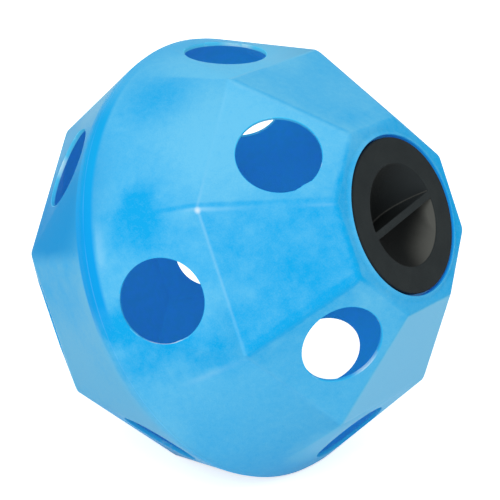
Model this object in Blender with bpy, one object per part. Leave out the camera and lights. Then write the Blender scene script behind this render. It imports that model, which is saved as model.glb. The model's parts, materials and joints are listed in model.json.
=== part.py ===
"""Hay ball feeder: a hollow faceted ball with feed holes, and a plug that screws into its filler neck.

Each half of the ball has a crown facet, a ring of upper facets and a ring of lower facets, which run out
into a round belt between the halves. Every other facet of a ring has a feed hole, staggered from ring to
ring. The ball is modelled in its own frame, with the plug's axis along Z and the belt at Z = 0. An empty
then lays it on one of its lower facets, with the plug facing -Y and upwards. Lengths are in metres.
"""

import math

import bmesh
import bpy
from mathutils import Matrix, Vector

# Filler plug, from its dish outwards
DISH_RADIUS = 0.0450
DISH_DEPTH = 0.0240
GRIP_WIDTH = 0.0065
GRIP_FOOT_WIDTH = 0.0085
GRIP_ANGLE = math.radians(9.3)
SKIRT_MARGIN = 0.0120
SKIRT_LENGTH = 0.0340
FLANGE_OVERHANG = 0.0106
FLANGE_THICKNESS = 0.0060
FLANGE_ROUND = 0.0015
PLUG_WALL = 0.0035

# Filler neck, which the plug screws into
FLANGE_GAP = 0.0012
FLANGE_SINK = 0.0007
SEAT_GAP = 0.0003
THREAD_ROOM = 0.0030
NECK_MARGIN = 0.0020
LIP_WIDTH = 0.0064
LIP_RISE = 0.0028
LIP_ROUND = 0.0030

# Ball shell: radii of facets are from the axis to the middle of a side
SIDES = 8
WALL = 0.0036
CROWN_BORDER = 0.0046
CROWN_HEIGHT = 0.1802
SHOULDER_HEIGHT = 0.1005
SHOULDER_INSET = 0.0470
BELT_RADIUS = 0.2015
BELT_ROUND = 0.0200
EDGE_ROUND = 0.0045
INNER_ROUND = 0.0055
HOLE_RADIUS = 0.0360
LOWER_HOLE_RISE = 0.0018

# Fineness of the facets that stand for round surfaces
CORNER_STEPS = 7
EDGE_STEPS = 3
BELT_STEPS = 6
HOLE_STEPS = 40
PLUG_STEPS = 60
BOWL_STEPS = 8

# Edges turning by more than this are sharp, and points closer than this are one
SHARP_EDGE = math.radians(20.0)
MERGE_DISTANCE = 0.000004

# Sizes that follow from those above
SKIRT_RADIUS = DISH_RADIUS + SKIRT_MARGIN
FLANGE_RADIUS = SKIRT_RADIUS + FLANGE_OVERHANG
RECESS_RADIUS = FLANGE_RADIUS + FLANGE_GAP
CROWN_RADIUS = RECESS_RADIUS + LIP_WIDTH + CROWN_BORDER
BORE_RADIUS = SKIRT_RADIUS + THREAD_ROOM
PLUG_TOP = CROWN_HEIGHT + LIP_RISE - FLANGE_SINK
SEAT_HEIGHT = PLUG_TOP - FLANGE_THICKNESS - SEAT_GAP
NECK_END = PLUG_TOP - FLANGE_THICKNESS - SKIRT_LENGTH - NECK_MARGIN
SHOULDER_RADIUS = BELT_RADIUS - SHOULDER_INSET
DRILL_REACH = 3 * WALL
LOWER_SLOPE = math.atan2(SHOULDER_INSET, SHOULDER_HEIGHT)
REST_HEIGHT = BELT_RADIUS * math.cos(LOWER_SLOPE)


def plastic(name, colour, roughness):
    """A material for one moulding."""
    material = bpy.data.materials.new(name)
    material.use_nodes = True
    shader = material.node_tree.nodes["Principled BSDF"]
    shader.inputs["Base Color"].default_value = (*colour, 1.0)
    shader.inputs["Roughness"].default_value = roughness
    shader.inputs["Metallic"].default_value = 0.0
    return material


def add_object(name, bm, parent, material=None):
    """An object from a bmesh. Without a material it is a cutter, which shows only as wires."""
    mesh = bpy.data.meshes.new(name)
    bmesh.ops.recalc_face_normals(bm, faces=bm.faces)
    bm.to_mesh(mesh)
    bm.free()
    thing = bpy.data.objects.new(name, mesh)
    bpy.context.scene.collection.objects.link(thing)
    thing.parent = parent
    if material:
        mesh.materials.append(material)
        mesh.shade_smooth()
        mesh.set_sharp_from_angle(angle=SHARP_EDGE)
    else:
        thing.hide_render = True
        thing.display_type = "WIRE"
    return thing


def cut(thing, cutter):
    """Takes the cutter's shape out of a thing."""
    modifier = thing.modifiers.new(cutter.name, "BOOLEAN")
    modifier.operation = "DIFFERENCE"
    modifier.solver = "EXACT"
    modifier.object = cutter


def arc(before, corner, after, radius, steps):
    """Points of the arc that rounds the corner of a profile, from the side before it to the side after."""
    back = (before - corner).normalized()
    on = (after - corner).normalized()
    half = back.angle(on) / 2
    centre = corner + (back + on).normalized() * radius / math.sin(half)
    start = corner + back * radius / math.tan(half) - centre
    end = corner + on * radius / math.tan(half) - centre
    turn = start.angle(end)
    weights = [(math.sin(turn * (1 - i / steps)), math.sin(turn * i / steps)) for i in range(steps + 1)]
    return [centre + (start * a + end * b) / math.sin(turn) for a, b in weights]


def inset(before, corner, after, depth):
    """The corner of a profile moved inwards, so that both of its sides move by the depth."""
    back = (before - corner).normalized()
    on = (after - corner).normalized()
    return corner + (back + on).normalized() * depth / math.sin(back.angle(on) / 2)


def section(radius, corner_round, height):
    """A level ring of points: a regular polygon with round corners, or a circle if they are round enough."""
    side_angle = 2 * math.pi / SIDES
    reach = (radius - corner_round) / math.cos(side_angle / 2)
    points = []
    for side in range(SIDES):
        middle = side_angle * (side + 0.5)
        for step in range(CORNER_STEPS + 1):
            turn = side_angle * (side + step / CORNER_STEPS)
            x = reach * math.cos(middle) + corner_round * math.cos(turn)
            y = reach * math.sin(middle) + corner_round * math.sin(turn)
            points.append((x, y, height))
    return points


def circle(radius, height, steps):
    """A level ring of points on a circle."""
    angles = [2 * math.pi * i / steps for i in range(steps)]
    return [(radius * math.cos(a), radius * math.sin(a), height) for a in angles]


def loft(rings):
    """A closed skin over rings of equally many points, with a face across the first and the last ring."""
    bm = bmesh.new()
    loops = [[bm.verts.new(point) for point in ring] for ring in rings]
    for low, high in zip(loops, loops[1:]):
        for i in range(len(low)):
            bm.faces.new((low[i - 1], low[i], high[i], high[i - 1]))
    bm.faces.new(loops[0])
    bm.faces.new(loops[-1])
    bmesh.ops.remove_doubles(bm, verts=bm.verts, dist=MERGE_DISTANCE)
    return bm


def ball_profile():
    """Corners of the ball's outline, from the front crown over the belt to the back crown."""
    front = [Vector((0, CROWN_HEIGHT)), Vector((CROWN_RADIUS, CROWN_HEIGHT))]
    front.append(Vector((SHOULDER_RADIUS, SHOULDER_HEIGHT)))
    back = [Vector((corner.x, -corner.y)) for corner in reversed(front)]
    return [*front, Vector((BELT_RADIUS, 0)), *back]


def corner_rounds(profile, edge_round, belt_round):
    """Each corner of a profile between its neighbours, with the radius that rounds it."""
    corners = zip(profile, profile[1:], profile[2:])
    return [(three, edge_round if three[1].y else belt_round) for three in corners]


def skin_rings(profile, edge_round, belt_round):
    """Sections along one skin of the ball: eight-sided at the crowns and shoulders, round at the belt."""
    rings = []
    for corners, rounding in corner_rounds(profile, edge_round, belt_round):
        at_belt = corners[1].y == 0
        for point in arc(*corners, rounding, BELT_STEPS if at_belt else EDGE_STEPS):
            rings.append(section(point.x, point.x if at_belt else rounding, point.y))
    return rings


def neck_rings():
    """Sections of the filler neck, from its raised lip on the crown, down the bore and back up outside it."""
    lip_foot = Vector((RECESS_RADIUS + LIP_WIDTH, CROWN_HEIGHT))
    lip = Vector((RECESS_RADIUS, CROWN_HEIGHT + LIP_RISE))
    seat = Vector((RECESS_RADIUS, SEAT_HEIGHT))
    profile = [lip_foot, *arc(lip_foot, lip, seat, LIP_ROUND, EDGE_STEPS)]
    profile += [seat, Vector((BORE_RADIUS, SEAT_HEIGHT)), Vector((BORE_RADIUS, NECK_END))]
    profile += [Vector((BORE_RADIUS + WALL, NECK_END)), Vector((BORE_RADIUS + WALL, SEAT_HEIGHT - WALL))]
    profile += [Vector((RECESS_RADIUS + WALL, SEAT_HEIGHT - WALL))]
    profile += [Vector((RECESS_RADIUS + WALL, CROWN_HEIGHT - WALL))]
    return [section(point.x, point.x, point.y) for point in profile]


def feed_holes(profile):
    """Drills for the feed holes: square to a facet, about midway up it, on every other facet of a ring."""
    bm = bmesh.new()
    corners = profile[1:-1]
    for ring, (upper, lower) in enumerate(zip(corners, corners[1:])):
        slope = (lower - upper).normalized()
        away_from_belt = slope * LOWER_HOLE_RISE * ((upper.y == 0) - (lower.y == 0))
        middle = (upper + lower) / 2 + away_from_belt
        for pair in range(SIDES // 2):
            side = 2 * pair + (ring + 1) % 2
            around = Matrix.Rotation(2 * math.pi * side / SIDES, 4, "Z")
            tilt = Matrix.Rotation(math.atan2(-slope.y, slope.x), 4, "Y")
            place = around @ Matrix.Translation((middle.x, 0, middle.y)) @ tilt
            bmesh.ops.create_cone(bm, cap_ends=True, segments=HOLE_STEPS, radius1=HOLE_RADIUS,
                                  radius2=HOLE_RADIUS, depth=2 * DRILL_REACH, matrix=place)
    return bm


def ball_shell(parent):
    """The ball: one hollow moulding with its filler neck, drilled for the feed holes."""
    outside = ball_profile()
    inside = [Vector((0, CROWN_HEIGHT - WALL))]
    inside += [inset(*corners, WALL) for corners in zip(outside, outside[1:], outside[2:])]
    inside += [Vector((0, WALL - CROWN_HEIGHT))]
    outer_skin = skin_rings(outside, EDGE_ROUND, BELT_ROUND)
    inner_skin = skin_rings(inside, INNER_ROUND, BELT_ROUND - WALL)
    blue = plastic("sky_blue_polyethylene", (0.07, 0.48, 0.84), 0.45)
    shell = add_object("ball_shell", loft(outer_skin[::-1] + neck_rings() + inner_skin), parent, blue)
    cut(shell, add_object("feed_hole_drills", feed_holes(outside), parent))


def dish_profile(rim_radius, depth, steps):
    """A bowl's profile: a piece of a circle from just above its rim, at height 0, to its lowest point."""
    ball_radius = (rim_radius ** 2 + depth ** 2) / (2 * depth)
    reach = math.asin(rim_radius / ball_radius)
    angles = [reach * (1 + (0.5 - i) / steps) for i in range(steps + 1)]
    return [Vector((ball_radius * math.sin(a), ball_radius * (1 - math.cos(a)) - depth)) for a in angles]


def plug_profile():
    """The plug's outline from the flange's top edge, down the skirt and up inside it, to under the bowl."""
    top = Vector((0, 0))
    edge = Vector((FLANGE_RADIUS, 0))
    under = Vector((FLANGE_RADIUS, -FLANGE_THICKNESS))
    skirt_end = -FLANGE_THICKNESS - SKIRT_LENGTH
    inner_radius = SKIRT_RADIUS - PLUG_WALL
    profile = arc(top, edge, under, FLANGE_ROUND, EDGE_STEPS)
    profile += [under, Vector((SKIRT_RADIUS, -FLANGE_THICKNESS)), Vector((SKIRT_RADIUS, skirt_end))]
    profile += [Vector((inner_radius, skirt_end)), Vector((inner_radius, -FLANGE_THICKNESS))]
    bowl = dish_profile(DISH_RADIUS + PLUG_WALL, DISH_DEPTH + PLUG_WALL, BOWL_STEPS)
    return profile + [point for point in bowl if point.y < -FLANGE_THICKNESS]


def filler_plug(parent):
    """The plug: a flange over a hollow threaded skirt, with a round dish crossed by a grip bar."""
    black = plastic("black_polyethylene", (0.025, 0.028, 0.030), 0.5)
    rings = [circle(point.x, point.y, PLUG_STEPS) for point in plug_profile()]
    plug = add_object("filler_plug", loft(rings), parent, black)
    plug.location = (0, 0, PLUG_TOP)
    plug.rotation_euler = (0, 0, GRIP_ANGLE)

    bowl = dish_profile(DISH_RADIUS, DISH_DEPTH, BOWL_STEPS)
    dish = add_object("dish_cutter", loft([circle(point.x, point.y, PLUG_STEPS) for point in bowl]), plug)

    bm = bmesh.new()
    bottom = -DISH_DEPTH - PLUG_WALL
    foot, top = GRIP_FOOT_WIDTH / 2, GRIP_WIDTH / 2
    crest = top + (foot - top) * DISH_DEPTH / bottom
    outline = [(-foot, bottom), (foot, bottom), (crest, DISH_DEPTH), (-crest, DISH_DEPTH)]
    face = bm.faces.new([bm.verts.new((-FLANGE_RADIUS, y, z)) for y, z in outline])
    long = bmesh.ops.extrude_face_region(bm, geom=[face])["geom"]
    ends = [part for part in long if isinstance(part, bmesh.types.BMVert)]
    bmesh.ops.translate(bm, vec=(2 * FLANGE_RADIUS, 0, 0), verts=ends)
    cut(dish, add_object("grip_bar_left_standing", bm, plug))
    cut(plug, dish)


for thing in list(bpy.data.objects):
    bpy.data.objects.remove(thing)

ball_frame = bpy.data.objects.new("ball_frame", None)
bpy.context.scene.collection.objects.link(ball_frame)
ball_frame.location = (0, 0, REST_HEIGHT)
ball_frame.rotation_euler = (math.pi / 2 - LOWER_SLOPE, 0, 0)
ball_shell(ball_frame)
filler_plug(ball_frame)
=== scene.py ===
"""Hay ball feeder: the looks of the sky blue ball and of its black filler plug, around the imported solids."""

import json
import math

import bmesh
import bpy
from mathutils import Matrix, Quaternion, Vector


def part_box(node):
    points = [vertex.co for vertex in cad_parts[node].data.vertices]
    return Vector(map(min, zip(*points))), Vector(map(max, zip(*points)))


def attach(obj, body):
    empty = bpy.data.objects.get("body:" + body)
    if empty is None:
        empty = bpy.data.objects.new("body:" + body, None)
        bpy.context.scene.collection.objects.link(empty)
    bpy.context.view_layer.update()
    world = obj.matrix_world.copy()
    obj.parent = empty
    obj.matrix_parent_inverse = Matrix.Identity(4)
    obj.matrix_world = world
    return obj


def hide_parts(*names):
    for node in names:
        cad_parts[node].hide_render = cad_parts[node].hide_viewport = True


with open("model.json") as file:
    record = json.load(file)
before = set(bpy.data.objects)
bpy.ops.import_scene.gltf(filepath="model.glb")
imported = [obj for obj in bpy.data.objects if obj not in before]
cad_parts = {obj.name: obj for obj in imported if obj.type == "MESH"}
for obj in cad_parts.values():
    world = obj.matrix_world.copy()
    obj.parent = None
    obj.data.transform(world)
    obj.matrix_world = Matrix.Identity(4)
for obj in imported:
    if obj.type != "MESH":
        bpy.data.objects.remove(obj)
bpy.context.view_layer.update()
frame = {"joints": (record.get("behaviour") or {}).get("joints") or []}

# The camera stands where the photograph's did: to the left of the plug, a little above the ball and well back
# from it, with a long lens.
LOOK_AT = Vector((0.0041, -0.0028, 0.1869))
CAMERA_DISTANCE = 1.9758
CAMERA_AZIMUTH = math.radians(-53.975)
CAMERA_ELEVATION = math.radians(20.308)
CAMERA_ROLL = math.radians(1.933)
CAMERA_LENS = 158.4

level = math.cos(CAMERA_ELEVATION)
backwards = Vector((math.sin(CAMERA_AZIMUTH) * level,
                    -math.cos(CAMERA_AZIMUTH) * level,
                    math.sin(CAMERA_ELEVATION)))
camera = bpy.data.objects.new("camera", bpy.data.cameras.new("camera"))
bpy.context.scene.collection.objects.link(camera)
camera.data.lens = CAMERA_LENS
camera.location = LOOK_AT + backwards * CAMERA_DISTANCE
camera.rotation_mode = "QUATERNION"
camera.rotation_quaternion = (-backwards).to_track_quat("-Z", "Y") @ Quaternion((0, 0, 1), CAMERA_ROLL)
bpy.context.scene.camera = camera
bpy.context.scene.view_settings.view_transform = "Standard"


# The studio: a white floor that runs out of sight under a white sky, and one large soft box above the
# camera's left. Floor and sky show white, but light the ball only as much as the soft box leaves to them.
class Wire:
    """An output socket of a node. A sum written with wires adds the Math nodes that work it out."""

    def __init__(self, socket):
        self.socket = socket

    def node(self, kind, settings=(), sockets=(), output=0):
        """A new node in the same tree: its settings are made first, then its sockets are set or linked."""
        tree = self.socket.id_data
        made = tree.nodes.new(kind)
        for name, value in dict(settings).items():
            setattr(made, name, value)
        for name, value in dict(sockets).items():
            if isinstance(value, Wire):
                tree.links.new(value.socket, made.inputs[name])
            else:
                made.inputs[name].default_value = value
        return Wire(made.outputs[output])

    def math(self, operation, *values):
        """One Math node on these values."""
        return self.node("ShaderNodeMath", {"operation": operation}, enumerate(values))

    def __add__(self, other):
        return self.math("ADD", self, other)

    def __sub__(self, other):
        return self.math("SUBTRACT", self, other)

    def __rsub__(self, other):
        return self.math("SUBTRACT", other, self)

    def __mul__(self, other):
        return self.math("MULTIPLY", self, other)

    def __truediv__(self, other):
        return self.math("DIVIDE", self, other)

    def __abs__(self):
        return self.math("ABSOLUTE", self)

    __radd__ = __add__
    __rmul__ = __mul__

    def root(self):
        """The square root."""
        return self.math("SQRT", self)

    def most(self, other):
        """The larger of the two."""
        return self.math("MAXIMUM", self, other)

    def ramp(self, start, end):
        """0 before the start, 1 after the end and a smooth rise between, or a fall if the end is less."""
        limits = {"Value": self, "From Min": start, "From Max": end}
        return self.node("ShaderNodeMapRange", {"interpolation_type": "SMOOTHSTEP"}, limits)

    def band(self, start, full, fall, end):
        """0 up to the start, a smooth rise to 1, and a smooth fall back to 0 at the end."""
        return self.ramp(start, full) * self.ramp(end, fall)

    def ridge(self, middle, reach, flat=0.0):
        """1 at the middle, flat beside it for that far, and a smooth fall to 0 at that reach."""
        return abs(self - middle).ramp(reach, flat)

    def mix(self, first, second):
        """The first colour where this is 0, and the second where it is 1."""
        return self.node("ShaderNodeMix", {"data_type": "RGBA"}, {0: self, 6: first, 7: second}, output=2)

    def noise(self, size, detail, roughness):
        """Cloudy noise over this vector, with clouds of about that size in metres."""
        sockets = {"Vector": self, "Scale": 1 / size, "Detail": detail, "Roughness": roughness}
        return self.node("ShaderNodeTexNoise", {}, sockets)

    def distance(self, place):
        """How far this vector is from a place."""
        return self.node("ShaderNodeVectorMath", {"operation": "DISTANCE"}, {0: self, 1: place}, output=1)

    def part(self, axis):
        """One of a vector's three parts."""
        return self.node("ShaderNodeSeparateXYZ", {}, {0: self}, output=axis)


WHITE = (1.0, 1.0, 1.0, 1.0)
NO_GLOW = (0.0, 0.0, 0.0, 1.0)
FLOOR_WHITE = (0.92, 0.92, 0.92, 1.0)
FLOOR_GLOW = 0.72
FLOOR_SIZE = 40.0
FLOOR_DROP = 0.0004
SKY_LIGHT = 0.71
SOFT_BOX_PLACE = Vector((-2.1, -0.8, 2.0))
SOFT_BOX_SIZE = 1.4
SOFT_BOX_POWER = 27.0


def seen(tree):
    """1 for rays from the camera, with those mirrored or passed on, and 0 for rays that carry light."""
    rays = tree.nodes.new("ShaderNodeLightPath").outputs
    found = Wire(rays["Is Camera Ray"]) + Wire(rays["Is Glossy Ray"]) + Wire(rays["Is Transmission Ray"])
    return found.math("MINIMUM", found, 1.0)


bpy.ops.object.select_all(action="DESELECT")
bpy.ops.mesh.primitive_plane_add(size=FLOOR_SIZE, location=(0, 0, -FLOOR_DROP))
floor = bpy.context.object
floor.name = "studio_floor"
floor_paint = bpy.data.materials.new("floor_paint")
floor_paint.use_nodes = True
floor_shader = floor_paint.node_tree.nodes["Principled BSDF"]
floor_shader.inputs["Base Color"].default_value = FLOOR_WHITE
floor_shader.inputs["Roughness"].default_value = 1.0
floor_shader.inputs["Specular IOR Level"].default_value = 0.0
floor_shader.inputs["Emission Strength"].default_value = FLOOR_GLOW
floor_glow = seen(floor_paint.node_tree).mix(NO_GLOW, WHITE)
floor_paint.node_tree.links.new(floor_glow.socket, floor_shader.inputs["Emission Color"])
floor.data.materials.append(floor_paint)

sky = bpy.data.worlds.new("studio_sky")
sky.use_nodes = True
sky_shader = sky.node_tree.nodes["Background"]
sky_shader.inputs["Color"].default_value = WHITE
sky_strength = SKY_LIGHT + seen(sky.node_tree) * (1.0 - SKY_LIGHT)
sky.node_tree.links.new(sky_strength.socket, sky_shader.inputs["Strength"])
bpy.context.scene.world = sky

soft_box = bpy.data.objects.new("soft_box", bpy.data.lights.new("soft_box", "AREA"))
soft_box.data.size = SOFT_BOX_SIZE
soft_box.data.energy = SOFT_BOX_POWER
soft_box.location = SOFT_BOX_PLACE
soft_box.rotation_mode = "QUATERNION"
soft_box.rotation_quaternion = (LOOK_AT - SOFT_BOX_PLACE).to_track_quat("-Z", "Y")
bpy.context.scene.collection.objects.link(soft_box)


# The ball shell: one hollow moulding of sky blue polyethylene, made in a rotating mould, so its wall is even
# and its skin is cloudy. It is modelled upright, with the plug's axis along Z and the belt at Z = 0, as the
# hull of four eight-sided rings and a round belt, and is then put in its place.
plug_axis = Vector(frame["joints"][0]["axis"]).normalized()
plug_top = Vector(frame["joints"][0]["pos_m"])
ball_centre = plug_top - plug_axis * plug_top.y / plug_axis.y
ball_tilt = math.atan2(-plug_axis.y, plug_axis.z)
ball_place = Matrix.Translation(ball_centre) @ Matrix.Rotation(ball_tilt, 4, "X")

SIDES = 8
CROWN_RADIUS = 0.0798
CROWN_HEIGHT = 0.1802
SHOULDER_RADIUS = 0.1545
SHOULDER_HEIGHT = 0.1005
BELT_RADIUS = 0.2015
BELT_ROUND = 0.0200
BELT_RINGS = 8
BELT_VERTICES = 192
FLAT_ANGLE = math.radians(0.3)
CREASE_ANGLE = math.radians(8.0)
CREASE_WIDTH = 0.0030
CREASE_STEPS = 5
PARTING_WIDTH = 0.0010
PARTING_RISE = 0.0005
WALL = 0.0036
FULL_WEIGHT = 100
half_side = math.pi / SIDES
lower_slope = math.atan2(BELT_RADIUS - SHOULDER_RADIUS, SHOULDER_HEIGHT)
belt_middle = BELT_RADIUS - BELT_ROUND / math.cos(lower_slope)


def start(name):
    """Names the primitive that was just added, which is the active object."""
    piece = bpy.context.object
    piece.name = name
    return piece


def pick(piece, kind, test):
    """Goes into edit mode and selects those of a piece's vertices, edges or faces that pass a test."""
    bpy.context.view_layer.objects.active = piece
    bpy.ops.object.mode_set(mode="EDIT")
    bpy.ops.mesh.select_all(action="DESELECT")
    bpy.ops.mesh.select_mode(type=kind)
    mesh = bmesh.from_edit_mesh(piece.data)
    for element in {"VERT": mesh.verts, "EDGE": mesh.edges, "FACE": mesh.faces}[kind]:
        element.select_set(test(element))
    bmesh.update_edit_mesh(piece.data)


def put_away(piece):
    """Leaves edit mode with only this piece selected."""
    bpy.context.view_layer.objects.active = piece
    bpy.ops.object.mode_set(mode="OBJECT")
    bpy.ops.object.select_all(action="DESELECT")
    piece.select_set(True)


def smooth(piece, degrees):
    """Shades a piece smooth up to that angle, with its flat faces kept flat."""
    put_away(piece)
    bpy.ops.object.shade_smooth_by_angle(angle=math.radians(degrees))
    modifier = piece.modifiers.new("flat_faces", "WEIGHTED_NORMAL")
    modifier.keep_sharp = True
    modifier.weight = FULL_WEIGHT
    bpy.ops.object.modifier_apply(modifier=modifier.name)


def combine(piece, tool, operation):
    """Cuts a tool out of a piece, or joins it on, and removes the tool."""
    put_away(piece)
    modifier = piece.modifiers.new(tool.name, "BOOLEAN")
    modifier.operation = operation
    modifier.object = tool
    bpy.ops.object.modifier_apply(modifier=modifier.name)
    bpy.data.objects.remove(tool)


def add_ring(vertices, radius, height):
    """A level ring of vertices, as a polygon with that radius to the middle of its sides or as a circle."""
    turn = half_side if vertices == SIDES else 0.0
    corner = radius / math.cos(turn)
    bpy.ops.mesh.primitive_circle_add(vertices=vertices, radius=corner, location=(0, 0, height),
                                      rotation=(0, 0, turn))


bpy.ops.object.select_all(action="DESELECT")
add_ring(SIDES, CROWN_RADIUS, CROWN_HEIGHT)
shell = start("ball_skin")
put_away(shell)
bpy.ops.object.transform_apply()
bpy.ops.object.mode_set(mode="EDIT")
add_ring(SIDES, CROWN_RADIUS, -CROWN_HEIGHT)
for shoulder in (SHOULDER_HEIGHT, -SHOULDER_HEIGHT):
    add_ring(SIDES, SHOULDER_RADIUS, shoulder)
for ring in range(BELT_RINGS + 1):
    rise = lower_slope * (2 * ring / BELT_RINGS - 1)
    add_ring(BELT_VERTICES, belt_middle + BELT_ROUND * math.cos(rise), BELT_ROUND * math.sin(rise))
bpy.ops.mesh.select_all(action="SELECT")
bpy.ops.mesh.convex_hull()
bpy.ops.mesh.dissolve_limited(angle_limit=FLAT_ANGLE)


def is_crease(edge):
    """Whether an edge is one of those between the flat facets, which the mould rounds."""
    above_belt = all(abs(vertex.co.z) > SHOULDER_HEIGHT - WALL for vertex in edge.verts)
    return above_belt and edge.calc_face_angle() > CREASE_ANGLE


pick(shell, "EDGE", is_crease)
bpy.ops.mesh.bevel(offset=CREASE_WIDTH, segments=CREASE_STEPS)
put_away(shell)
wall = shell.modifiers.new("wall", "SOLIDIFY")
wall.thickness = WALL
wall.use_even_offset = True
bpy.ops.object.modifier_apply(modifier=wall.name)


def is_parting(vertex):
    """Whether a vertex lies on the outside, where the halves of the mould meet."""
    outside = vertex.co.xy.length > belt_middle + BELT_ROUND - WALL / 2
    return outside and abs(vertex.co.z) < PARTING_WIDTH / 4


pick(shell, "EDGE", lambda edge: all(is_parting(vertex) for vertex in edge.verts))
bpy.ops.mesh.bevel(offset=PARTING_WIDTH / 2, segments=2)
pick(shell, "VERT", is_parting)
proud = 1 + PARTING_RISE / (belt_middle + BELT_ROUND)
bpy.ops.transform.resize(value=(proud, proud, 1))
put_away(shell)

# The filler neck is moulded in one with the shell: a low rounded lip on the crown, a recess with a seat for
# the plug's flange, and a bore that hangs into the ball. It is turned from one profile and joined on.
RECESS_RADIUS = 0.0697
LIP_WIDTH = 0.0060
LIP_RISE = 0.0033
LIP_ROUND = 0.0014
LIP_STEPS = 6
LIP_FOOT = 0.0006
SEAT_HEIGHT = 0.1760
BORE_RADIUS = 0.0600
NECK_END = 0.1403
NECK_VERTICES = 160
lip_radius = RECESS_RADIUS + LIP_WIDTH
lip_top = CROWN_HEIGHT + LIP_RISE
neck_profile = (
    (BORE_RADIUS, NECK_END),
    (BORE_RADIUS, SEAT_HEIGHT),
    (RECESS_RADIUS, SEAT_HEIGHT),
    (RECESS_RADIUS, lip_top),
    (lip_radius, CROWN_HEIGHT - LIP_FOOT),
    (lip_radius, CROWN_HEIGHT - WALL / 2),
    (RECESS_RADIUS + WALL, CROWN_HEIGHT - WALL / 2),
    (RECESS_RADIUS + WALL, SEAT_HEIGHT - WALL),
    (BORE_RADIUS + WALL, SEAT_HEIGHT - WALL),
    (BORE_RADIUS + WALL, NECK_END),
)

bpy.ops.object.select_all(action="DESELECT")
bpy.ops.mesh.primitive_cylinder_add(vertices=NECK_VERTICES, radius=RECESS_RADIUS + WALL / 2, depth=4 * WALL,
                                    location=(0, 0, CROWN_HEIGHT))
combine(shell, start("crown_cutter"), "DIFFERENCE")

bpy.ops.object.select_all(action="DESELECT")
bpy.ops.mesh.primitive_circle_add(vertices=NECK_VERTICES, radius=BORE_RADIUS, location=(0, 0, NECK_END))
neck = start("neck")
put_away(neck)
bpy.ops.object.transform_apply()
pick(neck, "EDGE", lambda edge: True)
for from_point, to_point in zip(neck_profile, neck_profile[1:] + neck_profile[:1]):
    bpy.ops.mesh.extrude_edges_move(TRANSFORM_OT_translate={"value": (0, 0, to_point[1] - from_point[1])})
    widening = to_point[0] / from_point[0]
    bpy.ops.transform.resize(value=(widening, widening, 1))
bpy.ops.mesh.select_all(action="SELECT")
bpy.ops.mesh.remove_doubles(threshold=LIP_FOOT / 10)
bpy.ops.mesh.normals_make_consistent(inside=False)
pick(neck, "EDGE", lambda edge: all(vertex.co.z > CROWN_HEIGHT for vertex in edge.verts))
bpy.ops.mesh.bevel(offset=LIP_ROUND, segments=LIP_STEPS)
put_away(neck)
combine(shell, neck, "UNION")

# The feed holes are drilled through the finished moulding, four in each ring of facets, so their walls are
# bare cut plastic. One drill, whose ends widen to round the holes' edges, is copied to every place.
HOLE_RADIUS = 0.0360
HOLE_VERTICES = 96
HOLE_EDGE = 0.0008
LOWER_HOLE_RISE = 0.0018
LOWER_HOLE_SINK = 0.0003
DRILL_REACH = 0.0110

# How far some holes, drilled by hand, lie off their facets' middles, by the hole's number.
HOLE_SLIPS = {
    2: (0.0016, -0.0009, 0.0004),
    6: (-0.0002, -0.0011, -0.0005),
    8: (0.0010, 0.0008, 0.0011),
    9: (0.0030, 0.0, 0.0),
    13: (0.0016, 0.0, -0.0024),
    15: (0.0024, 0.0024, -0.0002),
}


def hole_place(angle, upper, front):
    """Where a feed hole is drilled: the middle of a facet, with Z square to it."""
    shoulder = Vector((SHOULDER_RADIUS, SHOULDER_HEIGHT))
    if upper:
        inner, outer = Vector((CROWN_RADIUS, CROWN_HEIGHT)), shoulder
    else:
        inner, outer = shoulder, Vector((BELT_RADIUS, 0.0))
    along = (outer - inner).normalized()
    across = Vector((-along.y, along.x))
    middle = (inner + outer) / 2
    if not upper:
        middle -= along * LOWER_HOLE_RISE + across * LOWER_HOLE_SINK
    turn = Matrix.Rotation(angle, 4, "Z") @ Matrix.Diagonal((1, 1, front, 1))
    square = (turn @ Vector((across.x, 0, across.y))).to_track_quat("Z", "Y")
    return Matrix.Translation(turn @ Vector((middle.x, 0, middle.y))) @ square.to_matrix().to_4x4()


hole_places = []
for front in (1, -1):
    for upper in (True, False):
        stagger = 45 if upper == (front > 0) else 0
        for degrees in range(stagger, 360, 90):
            hole_places.append(hole_place(math.radians(degrees), upper, front))
for number, slip in HOLE_SLIPS.items():
    hole_places[number] = Matrix.Translation(Vector(slip)) @ hole_places[number]

bpy.ops.object.select_all(action="DESELECT")
bpy.ops.mesh.primitive_cylinder_add(vertices=HOLE_VERTICES, radius=HOLE_RADIUS, depth=WALL - 2 * HOLE_EDGE,
                                    location=(0, 0, -WALL / 2))
drill = start("drill")
put_away(drill)
bpy.ops.object.transform_apply()
# Each end widens in two straight steps, close to the rounding of the edge.
near, far = HOLE_EDGE * (1 - math.cos(math.pi / 4)), HOLE_EDGE * math.cos(math.pi / 4)
for side in (1, -1):
    pick(drill, "FACE", lambda face: (face.calc_center_median().z + WALL / 2) * side > WALL / 4)
    drill_radius = HOLE_RADIUS
    for rise, widening in ((far, near), (2 * near, 2 * far), (DRILL_REACH, 0.0)):
        growth = (drill_radius + widening) / drill_radius
        bpy.ops.mesh.extrude_region_move(TRANSFORM_OT_translate={"value": (0, 0, side * rise)})
        bpy.ops.transform.resize(value=(growth, growth, 1))
        drill_radius += widening
for place in hole_places:
    put_away(drill)
    bpy.ops.object.duplicate()
    bpy.context.object.matrix_world = place
    combine(shell, bpy.context.object, "DIFFERENCE")
bpy.data.objects.remove(drill)
to_holes = [place.inverted() for place in hole_places]


def at_hole(point, slack):
    """Whether a point lies on the wall of one of the feed holes, within the slack."""
    for to_hole in to_holes:
        spot = to_hole @ point
        if abs(spot.z) < 2 * WALL and abs(spot.xy.length - HOLE_RADIUS) < slack:
            return True
    return False


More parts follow.
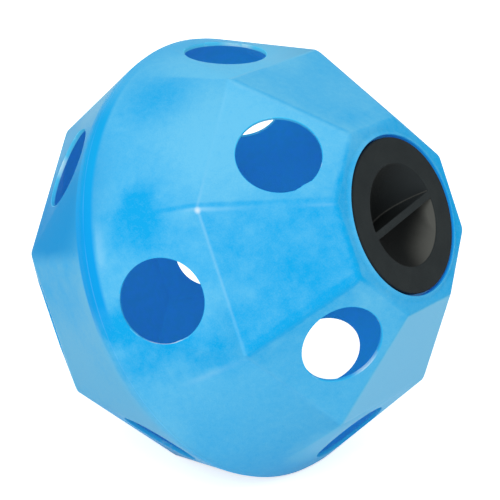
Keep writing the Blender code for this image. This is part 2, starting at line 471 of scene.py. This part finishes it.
# The ball's colours. The hazy blue is powder that melted to a paler skin, and also a painted reflection of the
# white floor and sky. The worn blue is rubbed plastic, and also painted highlight and reflection. The bare
# white is plastic rubbed and scraped bare, and also painted highlight. The shade blue is painted shade.
DEEP_BLUE = (0.006, 0.400, 0.830, 1.0)
HAZY_BLUE = (0.140, 0.560, 0.870, 1.0)
BACK_HAZE = (0.145, 0.505, 0.780, 1.0)
BELT_BLUE = (0.004, 0.360, 0.830, 1.0)
SHADE_BLUE = (0.004, 0.310, 0.700, 1.0)
PALE_WEAR_AND_SHEEN_BLUE = (0.300, 0.660, 0.920, 1.0)
BARE_AND_HIGHLIGHT_WHITE = (0.750, 0.880, 0.960, 1.0)
SHEEN = 0.03
BUMP_STRENGTH = 0.35
BUMP_HEIGHT = 0.0004
GLOW_STRENGTH = 0.130


def new_material(name, place):
    """A new material, and a wire with the point in the frame of the piece, before it is put in its place."""
    material = bpy.data.materials.new(name)
    material.use_nodes = True
    world = Wire(material.node_tree.nodes.new("ShaderNodeTexCoord").outputs["Object"])
    frame_of_piece = {"Vector": world, "Location": place.to_translation(), "Rotation": place.to_euler()}
    return material, world.node("ShaderNodeMapping", {"vector_type": "TEXTURE"}, frame_of_piece)


def plastic(colour, roughness, bump, sheen):
    """Finishes a polyethylene material. Its colour, its roughness and the height of its grain are wires."""
    tree = colour.socket.id_data
    shader = tree.nodes["Principled BSDF"]
    shader.inputs["Specular IOR Level"].default_value = sheen
    sockets = {"Height": bump, "Strength": BUMP_STRENGTH, "Distance": BUMP_HEIGHT}
    normal = bump.node("ShaderNodeBump", {}, sockets)
    for wire, socket in ((colour, "Base Color"), (roughness, "Roughness"), (normal, "Normal")):
        tree.links.new(wire.socket, shader.inputs[socket])


def light_up(material, glow):
    """Gives a material a faint glow in that colour, as from the light that shines through the wall."""
    shader = material.node_tree.nodes["Principled BSDF"]
    shader.inputs["Emission Strength"].default_value = GLOW_STRENGTH
    material.node_tree.links.new(glow.socket, shader.inputs["Emission Color"])


# The noise of the outer skin, from broad clouds down to the grain: the size in metres, detail and roughness.
CLOUD_NOISE = (0.085, 3.0, 0.55)
MOTTLE_NOISE = (0.022, 4.0, 0.6)
BRUSH_NOISE = (0.0060, 3.0, 0.65)
GRAIN_NOISE = (0.0012, 2.0, 0.6)
MEAN_NOISE = 0.5

outer_skin, point = new_material("outer_skin", ball_place)
x, y, z = (point.part(axis) for axis in range(3))
height = abs(z)
reach = (x * x + y * y).root()
angle = x.math("ARCTAN2", y, x)
fold = angle.math("PINGPONG", angle, half_side)
past_crease = (angle.math("WRAP", angle, 2 * half_side, 0.0) - half_side) * reach
from_shoulder = height - SHOULDER_HEIGHT
from_crown = reach * fold.math("COSINE", fold) - CROWN_RADIUS
clouds, mottle = point.noise(*CLOUD_NOISE), point.noise(*MOTTLE_NOISE)
brush, grain = point.noise(*BRUSH_NOISE), point.noise(*GRAIN_NOISE)

# How hazy the skin is on average, and how much the noise changes that: everywhere, and more at mid height.
MEAN_HAZE = 0.53
CLOUD_SWING = 0.15
MIDDLE_CLOUD_SWING = 0.35
MOTTLE_SWING = 0.05
MIDDLE_MOTTLE_SWING = 0.25
MIDDLE = (-0.080, -0.055, 0.085, 0.115)

in_middle = y.band(*MIDDLE)
haze = MEAN_HAZE + (clouds - MEAN_NOISE) * (CLOUD_SWING + in_middle * MIDDLE_CLOUD_SWING)
haze = haze + (mottle - MEAN_NOISE) * (MOTTLE_SWING + in_middle * MIDDLE_MOTTLE_SWING)

# Where the powder melted thin and hazy, or thick and deep in colour, and where patches of painted light and
# painted shade lighten or deepen the skin: the place, the size and the strength.
CLOUDS_AND_LIGHT = (
    ((-0.100, 0.118, 0.100), 0.090, 0.32),
    ((-0.060, 0.080, 0.140), 0.050, 0.20),
    ((-0.189, 0.044, 0.019), 0.040, 0.08),
    ((-0.170, -0.072, 0.047), 0.060, 0.08),
    ((-0.170, -0.040, -0.062), 0.080, 0.25),
    ((-0.160, -0.105, -0.030), 0.060, 0.30),
    ((-0.042, -0.172, 0.063), 0.050, 0.45),
    ((-0.096, 0.165, -0.028), 0.050, 0.38),
    ((-0.168, 0.078, 0.044), 0.032, -0.34),
    ((-0.178, 0.057, 0.037), 0.040, -0.14),
    ((-0.171, 0.045, 0.064), 0.038, -0.08),
    ((-0.095, 0.160, 0.036), 0.045, -0.12),
    ((-0.176, -0.040, 0.050), 0.050, -0.22),
    ((-0.196, -0.010, 0.012), 0.030, -0.40),
    ((-0.190, -0.040, 0.018), 0.034, -0.25),
    ((-0.137, -0.038, 0.119), 0.060, -0.05),
    ((0.060, -0.010, 0.185), 0.080, -0.22),
    ((-0.095, 0.155, 0.060), 0.045, -0.10),
    ((-0.110, -0.015, 0.148), 0.060, -0.08),
    ((-0.159, -0.050, 0.090), 0.040, -0.17),
    ((-0.047, 0.182, 0.034), 0.040, 0.12),
    ((0.010, 0.162, 0.085), 0.050, 0.25),
    ((-0.189, 0.040, 0.022), 0.030, -0.08),
    ((0.020, 0.110, 0.150), 0.050, 0.06),
)
RAGGEDNESS = 0.5

ragged = (mottle - MEAN_NOISE) * RAGGEDNESS
for place, size, amount in CLOUDS_AND_LIGHT:
    haze = haze + (point.distance(place) + ragged * size).ramp(size, 0.0) * amount

# How much hazier or deeper a whole facet of the front is painted, by the angle of its side: painted light and
# reflection on the facets that catch more light, painted shade on those that catch less. And how sharply the
# facets give way to each other. The crown is deeper all over.
UPPER_FACET_LIGHT = ((math.radians(90), -0.02), (math.radians(180), -0.09), (math.radians(270), 0.70))
LOWER_FACET_LIGHT = ((math.radians(90), 0.15), (math.radians(135), -0.04), (math.radians(270), 0.40))
FACET_BLUR = math.radians(0.8)
SHOULDER_BLUR = 0.0010
CROWN_START = (CROWN_HEIGHT - 0.0020, CROWN_HEIGHT - 0.0005)
CROWN_DEPTH = 0.10
LOWER_START = (0.020, 0.070)

shoulder_edge = (SHOULDER_HEIGHT - SHOULDER_BLUR, SHOULDER_HEIGHT + SHOULDER_BLUR)
on_crown = z.ramp(*CROWN_START)
on_upper = z.ramp(*shoulder_edge) * (1 - on_crown)
on_lower = z.band(*LOWER_START, *shoulder_edge)
for facets, on_ring in ((UPPER_FACET_LIGHT, on_upper), (LOWER_FACET_LIGHT, on_lower)):
    for facing, amount in facets:
        towards = (x * math.cos(facing) + y * math.sin(facing)) / reach
        on_side = towards.ramp(math.cos(half_side + FACET_BLUR), math.cos(half_side - FACET_BLUR))
        haze = haze + on_side * on_ring * amount
haze = haze - on_crown * CROWN_DEPTH

# The crown's rim is deeper in patches at the plug's left, as painted shade along its crease, and a painted
# sheen makes the skin hazier behind the belt.
RIM = (-0.0035, -0.0005, 0.0005, 0.0040)
RIM_START = (0.150, 0.165)
RIM_LEFT = (-0.030, -0.060)
RIM_TOP = (-0.045, -0.030)
RIM_PATCHES = (0.30, 0.60)
RIM_SHADE_DEPTH = 0.25
BEHIND_BELT = (-0.040, -0.012, -0.012, -0.006)
BEHIND_END = (0.050, 0.020)
BEHIND_BELT_SHEEN = 0.15

rim = from_crown.band(*RIM) * z.ramp(*RIM_START) * x.ramp(*RIM_LEFT) * y.ramp(*RIM_TOP)
haze = haze - rim * mottle.ramp(*RIM_PATCHES) * RIM_SHADE_DEPTH
haze = haze + z.band(*BEHIND_BELT) * y.ramp(*BEHIND_END) * BEHIND_BELT_SHEEN

# Painted shade runs as a line of deeper blue beside the upper creases, most of all at one worn corner, and a
# little way down the crease below that corner. A broad band of painted shade lies along the crease below the
# plug.
CORNER = (-0.1549, 0.0616, 0.0997)
CREASE_BLUR = 0.0040
UPPER_CREASE_END = (0.1760, 0.1800)
LOWER_CREASE_START = (0.030, 0.060)
CREASE_SHADE = (-0.0022, 0.0034, 0.0004)
UPPER_CREASE_SHADE_DEPTH = 0.10
UPPER_CREASE_SHADE_START = (-0.030, 0.0)
CORNER_CREASE_SHADE_DEPTH = 0.09
CORNER_CREASE_SHADE_REACH = (0.090, 0.010)
LOWER_CREASE_SHADE_DEPTH = 0.18
LOWER_CREASE_SHADE_REACH = (0.060, 0.010)
CREASE_SHADE_BAND = (-0.0085, -0.0050, 0.0015, 0.0050)
CREASE_SHADE_BAND_DEPTH = 0.10
CREASE_SHADE_BAND_MIDDLE = (-0.0005, 0.0005)
CREASE_SHADE_BAND_MORE = 0.13
CREASE_SHADE_BAND_ENDS = (-0.085, -0.075, -0.030, 0.0)

corner = point.distance(CORNER)
crease_shoulder = (SHOULDER_HEIGHT - CREASE_BLUR, SHOULDER_HEIGHT + CREASE_BLUR)
upper_crease = z.band(*crease_shoulder, *UPPER_CREASE_END)
lower_crease = z.band(*LOWER_CREASE_START, *crease_shoulder)
depth = UPPER_CREASE_SHADE_DEPTH + corner.ramp(*CORNER_CREASE_SHADE_REACH) * CORNER_CREASE_SHADE_DEPTH
depth = upper_crease * depth * y.ramp(*UPPER_CREASE_SHADE_START)
depth = depth + lower_crease * corner.ramp(*LOWER_CREASE_SHADE_REACH) * LOWER_CREASE_SHADE_DEPTH
haze = haze - past_crease.ridge(*CREASE_SHADE) * depth
depth = CREASE_SHADE_BAND_DEPTH + past_crease.ramp(*CREASE_SHADE_BAND_MIDDLE) * CREASE_SHADE_BAND_MORE
haze = haze - upper_crease * past_crease.band(*CREASE_SHADE_BAND) * depth * y.band(*CREASE_SHADE_BAND_ENDS)

# The haze as colour, with a speckle in it, and paler where it is thickest, partly as painted reflection. The
# back is greyer, and painted shade makes it deep in colour where it turns away at the left.
SPECKLE = 0.5
HAZE_RANGE = (0.20, 0.80)
PALE_RANGE = (0.80, 1.20)
PALE_AMOUNT = 0.40
BACK_START = (0.0, -0.020)
SHADE_PLACE = (-0.150, 0.095, -0.055)
SHADE_REACH = (0.095, 0.035)
SHADE_EDGE = (0.0500, 0.0660)
SHADE_TILT = 0.05
SHADE_RAGGEDNESS = 0.010

speckle = (brush - MEAN_NOISE) * SPECKLE + (grain - MEAN_NOISE) * SPECKLE
hazy = z.ramp(*BACK_START).mix(HAZY_BLUE, BACK_HAZE)
colour = (haze.ramp(*HAZE_RANGE) + speckle).mix(DEEP_BLUE, hazy)
colour = (haze.ramp(*PALE_RANGE) * PALE_AMOUNT).mix(colour, PALE_WEAR_AND_SHEEN_BLUE)
past_edge = (y + z * SHADE_TILT + mottle * SHADE_RAGGEDNESS).ramp(*SHADE_EDGE)
colour = (point.distance(SHADE_PLACE).ramp(*SHADE_REACH) * past_edge).mix(colour, SHADE_BLUE)

# The belt's upper half is deep in colour, with a pale streak of painted reflection beside it. The parting line
# carries a painted highlight in patches.
DEEP_BELT = (-0.0140, -0.0105, 0.0065, 0.0105)
DEEP_BELT_ENDS = (-0.025, 0.012, 0.150, 0.200)
DEEP_BELT_FADE = (0.060, 0.140)
STREAK = (0.0095, 0.0120, 0.0125, 0.0200)
STREAK_PLACE = (-0.1880, 0.0550, 0.0125)
STREAK_REACH = (0.028, 0.006)
STREAK_AMOUNT = 0.30
PARTING_LINE = (0.0008, 0.0002)
PARTING_PATCHES = (0.35, 0.65)
PARTING_AMOUNT = 0.15

belt_blue = y.ramp(*DEEP_BELT_FADE).mix(BELT_BLUE, DEEP_BLUE)
colour = (z.band(*DEEP_BELT) * y.band(*DEEP_BELT_ENDS)).mix(colour, belt_blue)
streak = z.band(*STREAK) * point.distance(STREAK_PLACE).ramp(*STREAK_REACH)
colour = (streak * STREAK_AMOUNT).mix(colour, PALE_WEAR_AND_SHEEN_BLUE)
parting = height.ramp(*PARTING_LINE) * clouds.ramp(*PARTING_PATCHES)
colour = (parting * PARTING_AMOUNT).mix(colour, PALE_WEAR_AND_SHEEN_BLUE)

# Where the creases are worn pale and carry a painted highlight, with the place, the size and the strength, and
# the lines of that wear and highlight. The corner is worn to white under a painted highlight, with a painted
# flare of light beside it, and the neck's lip has a faint painted highlight.
WEAR_AND_HIGHLIGHTS = (
    (CORNER, 0.050, 0.24),
    ((-0.1545, 0.0000, 0.1005), 0.080, 0.24),
    ((-0.1680, -0.0680, 0.0600), 0.050, 0.24),
    ((-0.0640, 0.1545, 0.1005), 0.060, 0.10),
    ((-0.0830, 0.0344, 0.1760), 0.035, 0.18),
)
MEAN_WEAR = 0.08
UPPER_LINE = (0.0022, 0.0026)
LOWER_LINE = (0.0030, 0.0050)
LOWER_LINE_START = (0.03, -0.02)
SHOULDER_LINE = (-0.0008, 0.0020)
SHOULDER_LINE_START = (0.152, 0.140)
FLARE_LINE = (0.0010, 0.0024)
FLARE_REACH = (0.018, 0.002)
FLARE_AMOUNT = 0.35
LIP_START = (CROWN_HEIGHT + 0.0012, CROWN_HEIGHT + 0.0026)
LIP_AMOUNT = 0.06
SPOT_REACH = (0.0040, 0.0)
SPOT_AMOUNT = 0.80
SKIN_ROUGHNESS = 0.40
SKIN_ROUGHNESS_SWING = 0.12

line = past_crease.ridge(*UPPER_LINE) * upper_crease
line = line.most(past_crease.ridge(*LOWER_LINE) * lower_crease * y.ramp(*LOWER_LINE_START))
line = line.most(from_shoulder.ridge(*SHOULDER_LINE) * y.ramp(*SHOULDER_LINE_START))
flare = past_crease.ridge(*FLARE_LINE) * corner.ramp(*FLARE_REACH)
wear_and_highlight = clouds * MEAN_WEAR
for place, size, amount in WEAR_AND_HIGHLIGHTS:
    wear_and_highlight = wear_and_highlight + point.distance(place).ramp(size, 0.0) * amount
colour = (line * wear_and_highlight + flare * FLARE_AMOUNT).mix(colour, PALE_WEAR_AND_SHEEN_BLUE)
colour = (height.ramp(*LIP_START) * LIP_AMOUNT).mix(colour, PALE_WEAR_AND_SHEEN_BLUE)
colour = (corner.ramp(*SPOT_REACH) * SPOT_AMOUNT).mix(colour, BARE_AND_HIGHLIGHT_WHITE)
plastic(colour, SKIN_ROUGHNESS + brush * SKIN_ROUGHNESS_SWING, grain, SHEEN)

# The inner skin, and the light that shines through the wall to it, most at the far side and in the recess.
INNER_BLUE = (0.008, 0.400, 0.900, 1.0)
WALL_GLOW = (0.072, 0.292, 0.450, 1.0)
BRIGHT_GLOW = (0.072, 0.560, 0.900, 1.0)
NECK_GLOW = (0.040, 0.290, 1.600, 1.0)
INNER_BRUSH_NOISE = (0.0080, 3.0, 0.6)
INNER_GRAIN_NOISE = (0.0015, 2.0, 0.6)
INNER_RANGE = (0.3, 0.7)
INNER_ROUGHNESS = 0.45
INNER_ROUGHNESS_SWING = 0.15
BRIGHT_SIDES = (0.060, 0.140)
BRIGHT_START = (0.0, 0.10)
RECESS_BLUR = 0.002

inner_skin, point = new_material("inner_skin", ball_place)
x, y, z = (point.part(axis) for axis in range(3))
reach = (x * x + y * y).root()
brush, grain = point.noise(*INNER_BRUSH_NOISE), point.noise(*INNER_GRAIN_NOISE)
colour = brush.ramp(*INNER_RANGE).mix(INNER_BLUE, DEEP_BLUE)
plastic(colour, INNER_ROUGHNESS + brush * INNER_ROUGHNESS_SWING, grain, SHEEN)
glow = (abs(y).ramp(*BRIGHT_SIDES) * x.ramp(*BRIGHT_START)).mix(WALL_GLOW, BRIGHT_GLOW)
in_neck = reach.ramp(RECESS_RADIUS + WALL, RECESS_RADIUS + WALL / 2)
in_recess = z.ramp(SEAT_HEIGHT - RECESS_BLUR, SEAT_HEIGHT) * in_neck
light_up(inner_skin, in_recess.mix(glow, NECK_GLOW))

# The cut walls of the holes: scuffed here and there, scraped pale by the drill and given a painted highlight
# at four places, which are given with their size, and lit through the wall at the top of the ball.
CUT_BLUE = (0.040, 0.500, 0.900, 1.0)
CUT_GLOW = (0.300, 1.000, 0.600, 1.0)
CUT_GLOW_START = (0.085, 0.125)
SCUFF_NOISE = (0.0150, 3.0, 0.6)
MARK_NOISE = (0.0015, 2.0, 0.6)
SCUFF_RANGE = (0.58, 0.80)
SCUFF_AMOUNT = 0.4
SCRAPES_AND_HIGHLIGHTS = (
    ((0.0340, 0.1796, 0.0405), 0.020),
    ((-0.0575, -0.1090, 0.1398), 0.018),
    ((-0.1015, 0.1274, -0.0846), 0.014),
    ((-0.1824, -0.0344, 0.0393), 0.030),
)
SCRAPE_CORE = 0.2
SCRAPE_RANGE = (0.30, 0.55)
SCRAPE_AMOUNT = 0.5
CUT_ROUGHNESS = 0.25
CUT_ROUGHNESS_SWING = 0.2
CUT_SLACK = 1.5 * HOLE_EDGE
UPRIGHT = 0.1

cut_wall, point = new_material("cut_wall", ball_place)
scuffs, marks = point.noise(*SCUFF_NOISE), point.noise(*MARK_NOISE)
scraped_and_lit = scuffs.ramp(*SCUFF_RANGE) * SCUFF_AMOUNT
for place, size in SCRAPES_AND_HIGHLIGHTS:
    at_scrape = point.distance(place).ramp(size, SCRAPE_CORE * size)
    scraped_and_lit = scraped_and_lit + at_scrape * scuffs.ramp(*SCRAPE_RANGE) * SCRAPE_AMOUNT
plastic(scraped_and_lit.mix(CUT_BLUE, BARE_AND_HIGHLIGHT_WHITE), CUT_ROUGHNESS + marks * CUT_ROUGHNESS_SWING, marks, SHEEN)
light_up(cut_wall, point.part(1).ramp(*CUT_GLOW_START).mix(NO_GLOW, CUT_GLOW))


def is_inside(face):
    """Whether a face is of the inner skin, which looks to the ball's middle, or of the neck's wall."""
    middle = face.calc_center_median()
    on_neck = abs(face.normal.z) < UPRIGHT and middle.z > 0 and middle.xy.length < RECESS_RADIUS + 2 * WALL
    return on_neck or face.normal.dot(middle) < 0


def is_cut(face):
    """Whether a face belongs to the wall of a hole."""
    return all(at_hole(vertex.co, CUT_SLACK) for vertex in face.verts)


for material in (outer_skin, inner_skin, cut_wall):
    shell.data.materials.append(material)
for number, test in ((1, is_inside), (2, is_cut)):
    pick(shell, "FACE", test)
    shell.active_material_index = number
    bpy.ops.object.material_slot_assign()

# Where the drill tore burrs at the holes' edges: the place, and how far the edge stands into the hole.
BURRS = (
    ((-0.0873, 0.0510, 0.1611), 0.0014),
    ((0.0356, 0.1747, 0.0565), 0.0010),
    ((-0.1753, -0.0393, 0.0552), 0.0006),
)
BURR_REACH = 0.0075
BURR_SLACK = 2 * HOLE_EDGE


def in_burr(vertex):
    """Whether a vertex lies at a hole's edge within the present reach of the present burr."""
    return (vertex.co - burr).length < burr_reach and at_hole(vertex.co, BURR_SLACK)


hole_middles = [place.to_translation() for place in hole_places]
for place, rise in BURRS:
    burr = Vector(place)
    nearest = min(hole_middles, key=lambda middle: (middle - burr).length)
    for burr_reach in (BURR_REACH, BURR_REACH / 2):
        pick(shell, "VERT", in_burr)
        bpy.ops.transform.translate(value=(nearest - burr).normalized() * rise / 2)
smooth(shell, degrees=35)

shell.matrix_world = ball_place
bpy.ops.object.transform_apply()
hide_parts("ball_shell")
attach(shell, "ball")

# The filler plug: one black polyethylene moulding, turned by hand to open the ball. A flange lies in the
# neck's recess, a hollow skirt hangs into the bore, and a dish in the face leaves a bar standing as a grip.
GRIP_ANGLE = math.radians(9.3)
FLANGE_THICKNESS = 0.0060
FLANGE_ROUND = 0.0015
FLANGE_STEPS = 4
FLANGE_OVERHANG = 0.0106
SKIRT_LENGTH = 0.0340
PLUG_WALL = 0.0035
PLUG_VERTICES = 160
DISH_RADIUS = 0.0450
DISH_DEPTH = 0.0240
GRIP_WIDTH = 0.0065
GRIP_FOOT_WIDTH = 0.0085
GRIP_LENGTH = 0.1200
GRIP_DEPTH = 0.0260
GRIP_EDGE = 0.0004
GRIP_EDGE_ANGLE = math.radians(20)
FACING = 0.9
plug_place = (Matrix.Translation(plug_top) @ Matrix.Rotation(ball_tilt, 4, "X")
              @ Matrix.Rotation(GRIP_ANGLE, 4, "Z"))
flange_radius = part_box("filler_plug")[1].x
skirt_radius = flange_radius - FLANGE_OVERHANG
plug_bottom = -FLANGE_THICKNESS - SKIRT_LENGTH


def bowl_sphere(radius, depth):
    """The radius of a sphere that dips below Z = 0 by that depth, with that radius at Z = 0."""
    return (radius ** 2 + depth ** 2) / (2 * depth)


def add_bowl(name, radius, depth):
    """A sphere that dips below Z = 0 by that depth, with that radius at Z = 0."""
    sphere = bowl_sphere(radius, depth)
    bpy.ops.object.select_all(action="DESELECT")
    bpy.ops.mesh.primitive_uv_sphere_add(segments=PLUG_VERTICES, ring_count=PLUG_VERTICES // 2, radius=sphere,
                                         location=(0, 0, sphere - depth))
    return start(name)


bpy.ops.object.select_all(action="DESELECT")
bpy.ops.mesh.primitive_cylinder_add(vertices=PLUG_VERTICES, radius=flange_radius, depth=FLANGE_THICKNESS,
                                    location=(0, 0, -FLANGE_THICKNESS / 2))
plug = start("plug_moulding")
put_away(plug)
bpy.ops.object.transform_apply()
pick(plug, "FACE", lambda face: face.normal.z < -FACING)
bpy.ops.mesh.inset(thickness=FLANGE_OVERHANG)
bpy.ops.mesh.extrude_region_move(TRANSFORM_OT_translate={"value": (0, 0, -SKIRT_LENGTH)})
pick(plug, "EDGE", lambda edge: all(vertex.co.z > -FLANGE_ROUND for vertex in edge.verts))
bpy.ops.mesh.bevel(offset=FLANGE_ROUND, segments=FLANGE_STEPS)

bpy.ops.object.mode_set(mode="OBJECT")
bpy.ops.object.select_all(action="DESELECT")
bpy.ops.mesh.primitive_cylinder_add(vertices=PLUG_VERTICES, radius=skirt_radius - PLUG_WALL,
                                    depth=SKIRT_LENGTH + PLUG_WALL,
                                    location=(0, 0, (plug_bottom - PLUG_WALL - FLANGE_THICKNESS) / 2))
hollow = start("hollow")
combine(hollow, add_bowl("underside", DISH_RADIUS + PLUG_WALL, DISH_DEPTH + PLUG_WALL), "DIFFERENCE")
combine(plug, hollow, "DIFFERENCE")

bpy.ops.object.select_all(action="DESELECT")
bpy.ops.mesh.primitive_cube_add(size=1)
grip = start("grip")
pick(grip, "FACE", lambda face: True)
grip_taper = (GRIP_FOOT_WIDTH - GRIP_WIDTH) * GRIP_DEPTH / DISH_DEPTH
bpy.ops.transform.resize(value=(GRIP_LENGTH, GRIP_WIDTH + grip_taper, 2 * GRIP_DEPTH))
pick(grip, "FACE", lambda face: face.normal.z > FACING)
bpy.ops.transform.resize(value=(1, (GRIP_WIDTH - grip_taper) / (GRIP_WIDTH + grip_taper), 1))
put_away(grip)
dish = add_bowl("dish", DISH_RADIUS, DISH_DEPTH)
combine(dish, grip, "DIFFERENCE")
combine(plug, dish, "DIFFERENCE")


def is_grip_edge(edge):
    """Whether an edge runs round the dish in the plug's face, along its rim or along the bar."""
    in_face = all(vertex.co.z > -GRIP_EDGE / 10 for vertex in edge.verts)
    at_dish = all(vertex.co.xy.length < DISH_RADIUS + GRIP_EDGE for vertex in edge.verts)
    return in_face and at_dish and edge.calc_face_angle(0.0) > GRIP_EDGE_ANGLE


pick(plug, "EDGE", is_grip_edge)
bpy.ops.mesh.bevel(offset=GRIP_EDGE, segments=2)
smooth(plug, degrees=25)

# The plug's skin is black with a grey grain, and painted shade makes it darker in the dish. Painted light from
# the left lies in the dish at the right: bright below the bar, where the bar's painted shadow keeps a dark
# strip right under it, faint above the bar, and as a painted highlight in a line along the bar's foot.
PLUG_BLACK = (0.0130, 0.0180, 0.0195, 1.0)
PLUG_GREY = (0.0200, 0.0260, 0.0270, 1.0)
DISH_SHADE_BLACK = (0.0050, 0.0065, 0.0065, 1.0)
DISH_LIGHT_GREY = (0.0920, 0.0960, 0.0880, 1.0)
DISH_FAINT_LIGHT = (0.0850, 0.1050, 0.1150, 1.0)
PLUG_CLOUD_NOISE = (0.030, 3.0, 0.6)
PLUG_GRAIN_NOISE = (0.0009, 2.0, 0.6)
CLOUD_SHARE = 0.6
GRAIN_SHARE = 0.4
PLUG_RANGE = (0.35, 0.65)
PLUG_ROUGHNESS = 0.50
PLUG_ROUGHNESS_SWING = 0.15
PLUG_SHEEN = 0.08
DISH_START = (-0.0002, -0.0010)
DISH_SLACK = 1.02
DISH_LIGHT_RAGGEDNESS = 0.010
DISH_LIGHT_CHANGE = (-0.002, 0.002)
ABOVE_BAR = (0.0, 0.002)
DISH_FAINT_LIGHT_START = (-0.022, 0.046)
DISH_FAINT_LIGHT_AMOUNT = 0.45
BELOW_BAR = (-0.002, -0.005)
DISH_LIGHT_SLANT = 1.5
DISH_LIGHT_START = (0.035, 0.086)
RIM_DISH_LIGHT_START = (0.032, 0.041)
RIM_DISH_LIGHT_AMOUNT = 0.45
FOOT_WIDTH = (0.0012, 0.0005)
FOOT_SIDE = (0.0, 0.001)
FOOT_HIGHLIGHT_AMOUNT = 0.3
FOOT_BRIGHT_START = (-0.040, 0.030)
FOOT_BRIGHT_AMOUNT = 0.4

plug_skin, point = new_material("plug_skin", plug_place)
x, y, z = (point.part(axis) for axis in range(3))
reach = (x * x + y * y).root()
clouds, grain = point.noise(*PLUG_CLOUD_NOISE), point.noise(*PLUG_GRAIN_NOISE)
colour = (clouds * CLOUD_SHARE + grain * GRAIN_SHARE).ramp(*PLUG_RANGE).mix(PLUG_BLACK, PLUG_GREY)
in_dish = z.ramp(*DISH_START) * reach.math("LESS_THAN", reach, DISH_SLACK * DISH_RADIUS)
dish_light_above = (x + clouds * DISH_LIGHT_RAGGEDNESS).ramp(*DISH_FAINT_LIGHT_START) * y.ramp(*ABOVE_BAR) * DISH_FAINT_LIGHT_AMOUNT
dish_light_below = (x - y * DISH_LIGHT_SLANT + clouds * DISH_LIGHT_RAGGEDNESS).ramp(*DISH_LIGHT_START)
dish_light_below = dish_light_below + x.ramp(*RIM_DISH_LIGHT_START) * RIM_DISH_LIGHT_AMOUNT
dish_light = dish_light_above + dish_light_below * y.ramp(*BELOW_BAR)
dish_light_colour = y.ramp(*DISH_LIGHT_CHANGE).mix(DISH_LIGHT_GREY, DISH_FAINT_LIGHT)
colour = in_dish.mix(colour, (dish_light * dish_light).mix(DISH_SHADE_BLACK, dish_light_colour))
dish_sphere = bowl_sphere(DISH_RADIUS, DISH_DEPTH)
from_bar = y - GRIP_WIDTH / 2 + z * ((GRIP_FOOT_WIDTH - GRIP_WIDTH) / 2 / DISH_DEPTH)
from_dish = dish_sphere - point.distance((0, 0, dish_sphere - DISH_DEPTH))
foot = from_bar.ramp(*FOOT_WIDTH) * y.ramp(*FOOT_SIDE) * from_dish.ramp(*FOOT_WIDTH) * in_dish
foot_highlight_strength = FOOT_HIGHLIGHT_AMOUNT + x.ramp(*FOOT_BRIGHT_START) * FOOT_BRIGHT_AMOUNT
colour = (foot * foot_highlight_strength).mix(colour, DISH_LIGHT_GREY)
plastic(colour, PLUG_ROUGHNESS + grain * PLUG_ROUGHNESS_SWING, grain, PLUG_SHEEN)
plug.data.materials.append(plug_skin)
plug.matrix_world = plug_place
bpy.ops.object.transform_apply()
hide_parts("filler_plug")
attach(plug, "plug")

# The threads: four short ribs of black polyethylene on the plug's skirt, and four blue ones in the neck's
# bore, moulded on. Seen from outside they run up anticlockwise, so the plug unscrews that way.
THREAD_STARTS = 4
THREAD_LEAD = 0.0400
THREAD_TURN = math.radians(80)
THREAD_STEPS = 40
THREAD_FOOT = 0.0036
THREAD_TOP = 0.0016
THREAD_SINK = 0.0005


def is_thread_end(vertex):
    """Whether a vertex lies at one of the two ends of the rib that starts on the X axis."""
    step = THREAD_TURN / THREAD_STEPS
    return not step / 2 < math.atan2(vertex.co.y, vertex.co.x) < THREAD_TURN - step / 2


def add_thread(name, root, crest, height):
    """Ribs that wind up from that height, with flat crests off the wall and ends that run into it."""
    bpy.ops.object.select_all(action="DESELECT")
    bpy.ops.mesh.primitive_plane_add(size=1)
    thread = start(name)
    pick(thread, "FACE", lambda face: True)
    bpy.ops.transform.rotate(value=math.pi / 2, orient_axis="X", center_override=(0, 0, 0))
    bpy.ops.transform.resize(value=(abs(crest - root), 1, THREAD_FOOT))
    pick(thread, "EDGE", lambda edge: all((vertex.co.x > 0) == (crest > root) for vertex in edge.verts))
    bpy.ops.transform.resize(value=(1, 1, THREAD_TOP / THREAD_FOOT))
    pick(thread, "FACE", lambda face: True)
    bpy.ops.transform.translate(value=((crest + root) / 2, 0, height))
    bpy.ops.mesh.delete(type="ONLY_FACE")
    put_away(thread)
    screw = thread.modifiers.new("screw", "SCREW")
    screw.angle = THREAD_TURN
    screw.screw_offset = THREAD_LEAD * THREAD_TURN / math.tau
    screw.steps = screw.render_steps = THREAD_STEPS
    bpy.ops.object.modifier_apply(modifier=screw.name)
    pick(thread, "VERT", is_thread_end)
    bury = (root + (root - crest) / 2) / root
    bpy.ops.transform.resize(value=(bury, bury, 1), center_override=(0, 0, height))
    bpy.ops.mesh.select_all(action="SELECT")
    bpy.ops.mesh.fill_holes(sides=8)
    for copy in range(1, THREAD_STARTS):
        bpy.ops.mesh.duplicate()
        bpy.ops.transform.rotate(value=math.tau / THREAD_STARTS, orient_axis="Z", center_override=(0, 0, 0))
    bpy.ops.mesh.select_all(action="SELECT")
    bpy.ops.mesh.normals_make_consistent(inside=False)
    smooth(thread, degrees=30)
    return thread


NECK_THREAD_CREST = 0.0587
NECK_THREAD_HEIGHT = 0.1500
neck_thread = add_thread("neck_thread", BORE_RADIUS + THREAD_SINK, NECK_THREAD_CREST, NECK_THREAD_HEIGHT)
neck_thread.data.materials.append(inner_skin)
neck_thread.matrix_world = ball_place
bpy.ops.object.transform_apply()
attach(neck_thread, "ball")

PLUG_THREAD_CREST = 0.0583
PLUG_THREAD_HEIGHT = -0.0330
plug_thread = add_thread("plug_thread", skirt_radius - THREAD_SINK, PLUG_THREAD_CREST, PLUG_THREAD_HEIGHT)
plug_thread.data.materials.append(plug_skin)
plug_thread.matrix_world = plug_place
bpy.ops.object.transform_apply()
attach(plug_thread, "plug")
